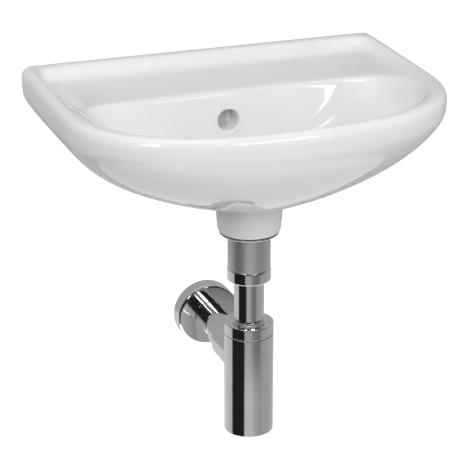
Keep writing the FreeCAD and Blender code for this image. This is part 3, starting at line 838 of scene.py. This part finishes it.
# Trap and waste: each piece takes its place from its node's box

def makeRingWasher():
    look = {"bore": 0.0211, "round": 0.0007}
    low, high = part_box("ring_washer")
    radius = radiusOf("ring_washer")
    addPiece("polished_ring", turnProfile([
        (look["bore"], low.z), (radius, low.z, look["round"]), (radius, high.z, look["round"]),
        (look["bore"], high.z),
    ]), "ring_washer", "chrome")


def makeTailSleeve():
    look = {"bore": 0.02105, "edge": 0.0006}
    low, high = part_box("tail_sleeve")
    radius = radiusOf("tail_sleeve")
    addPiece("satin_sleeve", turnProfile([
        (look["bore"], low.z), (radius, low.z, look["edge"]), (radius, high.z, look["edge"]),
        (look["bore"], high.z),
    ]), "tail_sleeve", "satin_metal")


def makeInletNut():
    look = {
        "bore": 0.02105, "hole": 0.01608, "web": 0.0039, "topRound": 0.0017, "footRound": 0.0011,
    }
    low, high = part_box("inlet_nut")
    radius = radiusOf("inlet_nut")
    step = low.z + look["web"]
    addPiece("inlet_collar_nut", turnProfile([
        (look["hole"], low.z), (radius, low.z, look["footRound"]), (radius, high.z, look["topRound"]),
        (look["bore"], high.z), (look["bore"], step), (look["hole"], step),
    ]), "inlet_nut", "chrome")


def makeDipTube():
    look = {"radius": 0.016, "wall": 0.0015, "collar": 0.002, "footRound": 0.0004}
    low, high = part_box("dip_tube")
    flange = radiusOf("dip_tube")
    inner = look["radius"] - look["wall"]
    step = high.z - look["collar"]
    addPiece("polished_dip_tube", turnProfile([
        (inner, low.z), (look["radius"], low.z, look["footRound"]), (look["radius"], step),
        (flange, step), (flange, high.z), (inner, high.z),
    ]), "dip_tube", "chrome")


def makeCapNut():
    look = {
        "rim": 0.0215, "hole": 0.0163, "bore": 0.0234, "web": 0.0046, "edge": 0.0009, "seamEdge": 0.0005,
        "rimEdge": 0.0005, "lip": 0.0012, "lipEdge": 0.0002, "ledge": 0.0029, "ledgeDrop": 0.0015,
        "dishDrop": 0.0027,
    }
    low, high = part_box("cap_nut")
    radius = radiusOf("cap_nut")
    top = high.z
    addPiece("bottle_cap_nut", turnProfile([
        (look["bore"], low.z), (radius, low.z, look["seamEdge"]), (radius, top, look["edge"]),
        (look["rim"], top, look["rimEdge"]),
        (look["rim"] - look["lip"], top - look["lip"], look["lipEdge"]),
        (look["rim"] - look["ledge"], top - look["ledgeDrop"]), (look["hole"], top - look["dishDrop"]),
        (look["hole"], top - look["web"]), (look["bore"], top - look["web"]),
    ]), "cap_nut", "chrome")


bottle = {
    "footRound": 0.002, "shoulderEdge": 0.0004, "neckDrop": 0.003, "wall": 0.002, "floor": 0.0025,
    "neckWall": 0.0018, "branchRadius": 0.023, "branchEdge": 0.001, "tubeRadius": 0.016,
    "neckHeight": 0.0046, "glandRadius": 0.0204, "insideRound": 0.003, "shoulderWall": 0.008,
    "throatStep": 0.002, "throatEnd": 0.0195, "glandFoot": 0.0135, "glandEnd": 0.010,
    "cleanoutRadius": 0.0131, "cleanoutReach": 0.004, "cutBeyond": 0.001,
}


def makeBottle():
    b = bottle
    low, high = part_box("bottle")
    radius = radiusOf("bottle")
    neck = radius - b["neckDrop"]
    shoulder = high.z - b["neckHeight"]
    body = turnProfile([
        (0, low.z), (radius, low.z, b["footRound"]), (radius, shoulder, b["shoulderEdge"]),
        (neck, shoulder), (neck, high.z), (0, high.z),
    ], steps=128)
    branch = turnProfile([
        (0, drainY), (b["branchRadius"], drainY), (b["branchRadius"], high.y, b["branchEdge"]),
        (0, high.y),
    ], alongPipe=True, steps=128)
    body = combine(body, branch, "UNION")
    inner, narrow, above = radius - b["wall"], neck - b["neckWall"], high.z + b["cutBeyond"]
    inside = turnProfile([
        (0, low.z + b["floor"]), (inner, low.z + b["floor"], b["insideRound"]),
        (inner, shoulder - b["shoulderWall"]), (narrow, high.z - 0.005), (narrow, above), (0, above),
    ])
    body = combine(body, inside, "DIFFERENCE")
    tube, gland, outside = b["tubeRadius"] - b["throatStep"], b["glandRadius"], high.y + b["cutBeyond"]
    throat = turnProfile([
        (0, drainY), (tube, drainY), (tube, high.y - b["throatEnd"]),
        (gland - 0.001, high.y - b["glandFoot"]), (gland + 0.0001, high.y - b["glandEnd"]),
        (gland + 0.0001, outside), (0, outside),
    ], alongPipe=True)
    body = combine(body, throat, "DIFFERENCE")
    hole = rodShape(b["cleanoutRadius"], (0, drainY, low.z - b["cutBeyond"]),
                    (0, drainY, low.z + b["cleanoutReach"]), 64)
    body = combine(body, hole, "DIFFERENCE")
    addPiece("trap_bottle", body, "bottle", "chrome", keepSharp=30.0)


def makeOutletNut():
    look = {"hole": 0.0163, "holeEdge": 0.0003, "barrel": 0.019, "spigot": 0.0088, "nose": 0.0024}
    low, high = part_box("outlet_nut")
    thread = radiusOf("outlet_nut")
    step = low.y + look["spigot"]
    addPiece("outlet_gland_nut", turnProfile([
        (look["hole"], low.y), (thread, low.y), (thread, step), (look["barrel"], step),
        (look["barrel"], high.y, look["nose"]), (look["hole"], high.y, look["holeEdge"]),
    ], alongPipe=True), "outlet_nut", "chrome")


def makeWallPipe():
    look = {"wall": 0.0015, "edge": 0.0004, "mark": 0.003, "markWidth": 0.0016, "markDepth": 0.0005}
    low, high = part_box("wall_pipe")
    radius = radiusOf("wall_pipe")
    inner, sunk = radius - look["wall"], radius - look["markDepth"]
    start, end = look["mark"], look["mark"] + look["markWidth"]
    addPiece("polished_wall_pipe", turnProfile([
        (inner, low.y), (radius, low.y, look["edge"]), (radius, start), (sunk, start),
        (sunk, end), (radius, end), (radius, high.y, look["edge"]), (inner, high.y),
    ], alongPipe=True), "wall_pipe", "chrome")


def makeRosette():
    look = {"hole": 0.0163, "holeEdge": 0.0005, "sheet": 0.0012, "faceRound": 0.003, "collar": 0.007}
    low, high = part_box("rosette")
    radius = radiusOf("rosette")
    sheet, hole = look["sheet"], look["hole"]
    addPiece("wall_rosette", turnProfile([
        (hole, low.y, look["holeEdge"]), (radius, low.y, look["faceRound"]), (radius, high.y),
        (radius - sheet, high.y), (radius - sheet, low.y + sheet, look["faceRound"] - sheet),
        (hole + sheet, low.y + sheet), (hole + sheet, low.y + look["collar"]),
        (hole, low.y + look["collar"]),
    ], alongPipe=True, steps=128), "rosette", "chrome")


makeRingWasher()
makeTailSleeve()
makeInletNut()
makeDipTube()
makeCapNut()
makeBottle()
makeOutletNut()
makeWallPipe()
makeRosette()
print("trap modelled")


# Pieces that keep their CAD shape

for node, shape in frame["nodes"].items():
    slotName = next(s["material_slot"] for s in frame["record"]["subparts"] if s["node"] == node)
    shape.data.materials.clear()
    shape.data.materials.append(finishes[slotName])
print("CAD pieces finished")


# Studio

studio = {
    "floorLevel": -0.86,
    "floorSize": 30.0,
    "floorColour": (0.55, 0.55, 0.55),
    "cameraFill": 1.0,
    "world": 0.05,
    "drumRadius": 0.75,
    "drumFoot": -0.855,
    "drumTop": 0.75,
    "drumSteps": 96,
    "stripReach": 0.97,       # share of the drum's radius
    "lampAim": -0.06,         # height that the lamps point at
}

# how bright the drum round the object is, by the turn from the camera in degrees (minus is the
# picture's left), low down, in the middle and high up
drumLow = (
    (-180, 0.55), (-140, 0.68), (-100, 0.56), (-84, 0.50), (-80, 0.016), (-22, 0.016), (-17, 0.56),
    (10, 0.58), (30, 0.44), (52, 0.36), (75, 0.39), (110, 0.41), (140, 0.50), (180, 0.55),
)
drumMiddle = (
    (-180, 0.55), (-140, 0.68), (-100, 0.58), (-84, 0.52), (-80, 0.016), (-22, 0.016), (-15, 0.42),
    (8, 0.42), (20, 0.26), (32, 0.19), (50, 0.19), (62, 0.34), (90, 0.40), (140, 0.46), (180, 0.55),
)
drumHigh = (
    (-180, 0.42), (-110, 0.42), (-85, 0.10), (-60, 0.016), (60, 0.016), (85, 0.12), (110, 0.42),
    (180, 0.42),
)
# a ramp takes over from the one before it between two heights of the drum
drumBands = ((drumMiddle, -0.70, -0.62), (drumHigh, -0.50, -0.44))

# turn from the camera in degrees, width, foot, top and brightness of the bright cards that shiny
# edges and the wall pipe pick up
strips = (
    ("strip_left", -22.0, 0.16, 0.08, 0.26, 6.0),
    ("strip_middle", 13.5, 0.08, 0.15, 0.23, 6.0),
    ("strip_right", 32.0, 0.30, 0.07, 0.19, 6.0),
    ("strip_bowl", -37.0, 0.03, 0.27, 0.70, 7.0),
)

# turn from the camera and height angle in degrees, distance, width, height, power in watts
lamps = (
    ("lamp_front", 0.0, 38.0, 2.4, 1.2, 1.2, 34.0),
    ("lamp_top", 0.0, 65.0, 2.2, 1.4, 1.4, 6.5),
    ("lamp_left", -100.0, 25.0, 2.4, 1.2, 1.2, 27.0),
    ("lamp_right", 100.0, 25.0, 2.4, 1.2, 1.2, 16.0),
    ("lamp_low", 36.0, 11.0, 2.4, 1.2, 1.2, 15.5),
    ("lamp_under", 0.0, -14.0, 2.4, 1.6, 0.5, 4.8),
)


# 1 for rays from the camera, off shiny surfaces and through clear ones
def backgroundShare(tree):
    path = tree.nodes.new("ShaderNodeLightPath")
    first = tree.nodes.new("ShaderNodeMath")
    first.operation = "MAXIMUM"
    tree.links.new(path.outputs["Is Camera Ray"], first.inputs[0])
    tree.links.new(path.outputs["Is Glossy Ray"], first.inputs[1])
    second = tree.nodes.new("ShaderNodeMath")
    second.operation = "MAXIMUM"
    tree.links.new(first.outputs[0], second.inputs[0])
    tree.links.new(path.outputs["Is Transmission Ray"], second.inputs[1])
    return second.outputs[0]


def makeWorld():
    world = bpy.data.worlds.new("studio")
    scene.world = world
    world.use_nodes = True
    tree = world.node_tree
    tree.nodes.clear()
    output = tree.nodes.new("ShaderNodeOutputWorld")
    light = tree.nodes.new("ShaderNodeBackground")
    light.inputs["Strength"].default_value = studio["world"]
    white = tree.nodes.new("ShaderNodeBackground")
    white.inputs["Color"].default_value = (1, 1, 1, 1)
    white.inputs["Strength"].default_value = 1.0
    light.inputs["Color"].default_value = (1, 1, 1, 1)
    mix = tree.nodes.new("ShaderNodeMixShader")
    tree.links.new(backgroundShare(tree), mix.inputs[0])
    tree.links.new(light.outputs[0], mix.inputs[1])
    tree.links.new(white.outputs[0], mix.inputs[2])
    tree.links.new(mix.outputs[0], output.inputs["Surface"])


def makeFloor():  # clear from below, so that the object's underside can be looked at
    bm = bmesh.new()
    bmesh.ops.create_grid(bm, x_segments=2, y_segments=2, size=studio["floorSize"],
                          matrix=Matrix.Translation((0, 0, studio["floorLevel"])))
    floor = looseObject("floor", bm)
    material, tree, output = emptyMaterial("pale_floor")
    surface = tree.nodes.new("ShaderNodeBsdfDiffuse")
    surface.inputs["Color"].default_value = (*studio["floorColour"], 1)
    glow = tree.nodes.new("ShaderNodeEmission")
    strength = tree.nodes.new("ShaderNodeMath")
    strength.operation = "MULTIPLY"
    strength.inputs[1].default_value = studio["cameraFill"]
    tree.links.new(backgroundShare(tree), strength.inputs[0])
    tree.links.new(strength.outputs[0], glow.inputs["Strength"])
    total = tree.nodes.new("ShaderNodeAddShader")
    tree.links.new(surface.outputs[0], total.inputs[0])
    tree.links.new(glow.outputs[0], total.inputs[1])
    side = tree.nodes.new("ShaderNodeNewGeometry")
    clear = tree.nodes.new("ShaderNodeBsdfTransparent")
    mix = tree.nodes.new("ShaderNodeMixShader")
    tree.links.new(side.outputs["Backfacing"], mix.inputs[0])
    tree.links.new(total.outputs[0], mix.inputs[1])
    tree.links.new(clear.outputs[0], mix.inputs[2])
    tree.links.new(mix.outputs[0], output.inputs["Surface"])
    floor.data.materials.append(material)


def cameraTurn():
    eye = Vector(camera["place"])
    return math.degrees(math.atan2(eye.y - drainY, eye.x))


def onlyForShine(thing):
    thing.visible_camera = False
    thing.visible_diffuse = False
    thing.visible_shadow = False
    thing.visible_transmission = False


def brightnessRamp(tree, share, stops):
    ramp = tree.nodes.new("ShaderNodeValToRGB").color_ramp
    while len(ramp.elements) < len(stops):
        ramp.elements.new(0.5)
    for element, (turn, level) in zip(ramp.elements, stops):
        element.position = (turn + 180) / 360
    for element, (turn, level) in zip(ramp.elements, stops):
        element.color = (level, level, level, 1)
    node = tree.nodes[-1]
    tree.links.new(share, node.inputs["Fac"])
    return node.outputs["Color"]


def makeDrum():  # a round wall of soft light and dark that only shiny surfaces see
    bm = bmesh.new()
    bmesh.ops.create_circle(bm, cap_ends=False, radius=studio["drumRadius"],
                            segments=studio["drumSteps"])
    bmesh.ops.translate(bm, vec=(0, 0, studio["drumFoot"]), verts=bm.verts[:])
    grown = bmesh.ops.extrude_edge_only(bm, edges=bm.edges[:])["geom"]
    bmesh.ops.translate(bm, vec=(0, 0, studio["drumTop"] - studio["drumFoot"]),
                        verts=newVertsOf(grown))
    drum = looseObject("drum", bm)
    drum.location = (0, drainY, 0)
    drum.rotation_euler = (0, 0, math.radians(cameraTurn()))
    material, tree, output = emptyMaterial("drum_light")
    place = tree.nodes.new("ShaderNodeTexCoord")
    axes = tree.nodes.new("ShaderNodeSeparateXYZ")
    tree.links.new(place.outputs["Object"], axes.inputs["Vector"])
    turn = tree.nodes.new("ShaderNodeMath")
    turn.operation = "ARCTAN2"
    tree.links.new(axes.outputs["Y"], turn.inputs[0])
    tree.links.new(axes.outputs["X"], turn.inputs[1])
    share = spread(tree, turn.outputs[0], 0.0, 1.0, -math.pi, math.pi)
    colour = brightnessRamp(tree, share, drumLow)
    for stops, start, end in drumBands:
        mix = tree.nodes.new("ShaderNodeMix")
        mix.data_type = "RGBA"
        tree.links.new(spread(tree, axes.outputs["Z"], 0.0, 1.0, start, end), mix.inputs[0])
        tree.links.new(colour, mix.inputs[6])
        tree.links.new(brightnessRamp(tree, share, stops), mix.inputs[7])
        colour = mix.outputs[2]
    glow = tree.nodes.new("ShaderNodeEmission")
    tree.links.new(colour, glow.inputs["Color"])
    tree.links.new(glow.outputs[0], output.inputs["Surface"])
    drum.data.materials.append(material)
    onlyForShine(drum)


def makeStrip(name, turn, width, foot, top, brightness):
    bm = bmesh.new()
    bmesh.ops.create_grid(bm, x_segments=1, y_segments=1, size=0.5,
                          matrix=Matrix.Diagonal((width, top - foot, 1, 1)))
    strip = looseObject(name, bm)
    angle = math.radians(cameraTurn() + turn)
    reach = studio["drumRadius"] * studio["stripReach"]
    strip.location = (reach * math.cos(angle), drainY + reach * math.sin(angle), (foot + top) / 2)
    strip.rotation_euler = (math.pi / 2, 0, angle + math.pi / 2)
    material, tree, output = emptyMaterial(name)
    glow = tree.nodes.new("ShaderNodeEmission")
    glow.inputs["Strength"].default_value = brightness
    tree.links.new(glow.outputs[0], output.inputs["Surface"])
    strip.data.materials.append(material)
    onlyForShine(strip)


def makeLamp(name, turn, rise, distance, width, height, power):
    angle, lift = math.radians(cameraTurn() + turn), math.radians(rise)
    target = Vector((0, drainY, studio["lampAim"]))
    level = math.cos(lift)
    away = Vector((math.cos(angle) * level, math.sin(angle) * level, math.sin(lift)))
    data = bpy.data.lights.new(name, "AREA")
    data.shape = "RECTANGLE"
    data.size = width
    data.size_y = height
    data.energy = power
    lamp = bpy.data.objects.new(name, data)
    lamp.location = target + away * distance
    lamp.rotation_euler = (-away).to_track_quat("-Z", "Y").to_euler()
    scene.collection.objects.link(lamp)


makeWorld()
makeFloor()
makeDrum()
for strip in strips:
    makeStrip(*strip)
for lamp in lamps:
    makeLamp(*lamp)
print("studio lit")
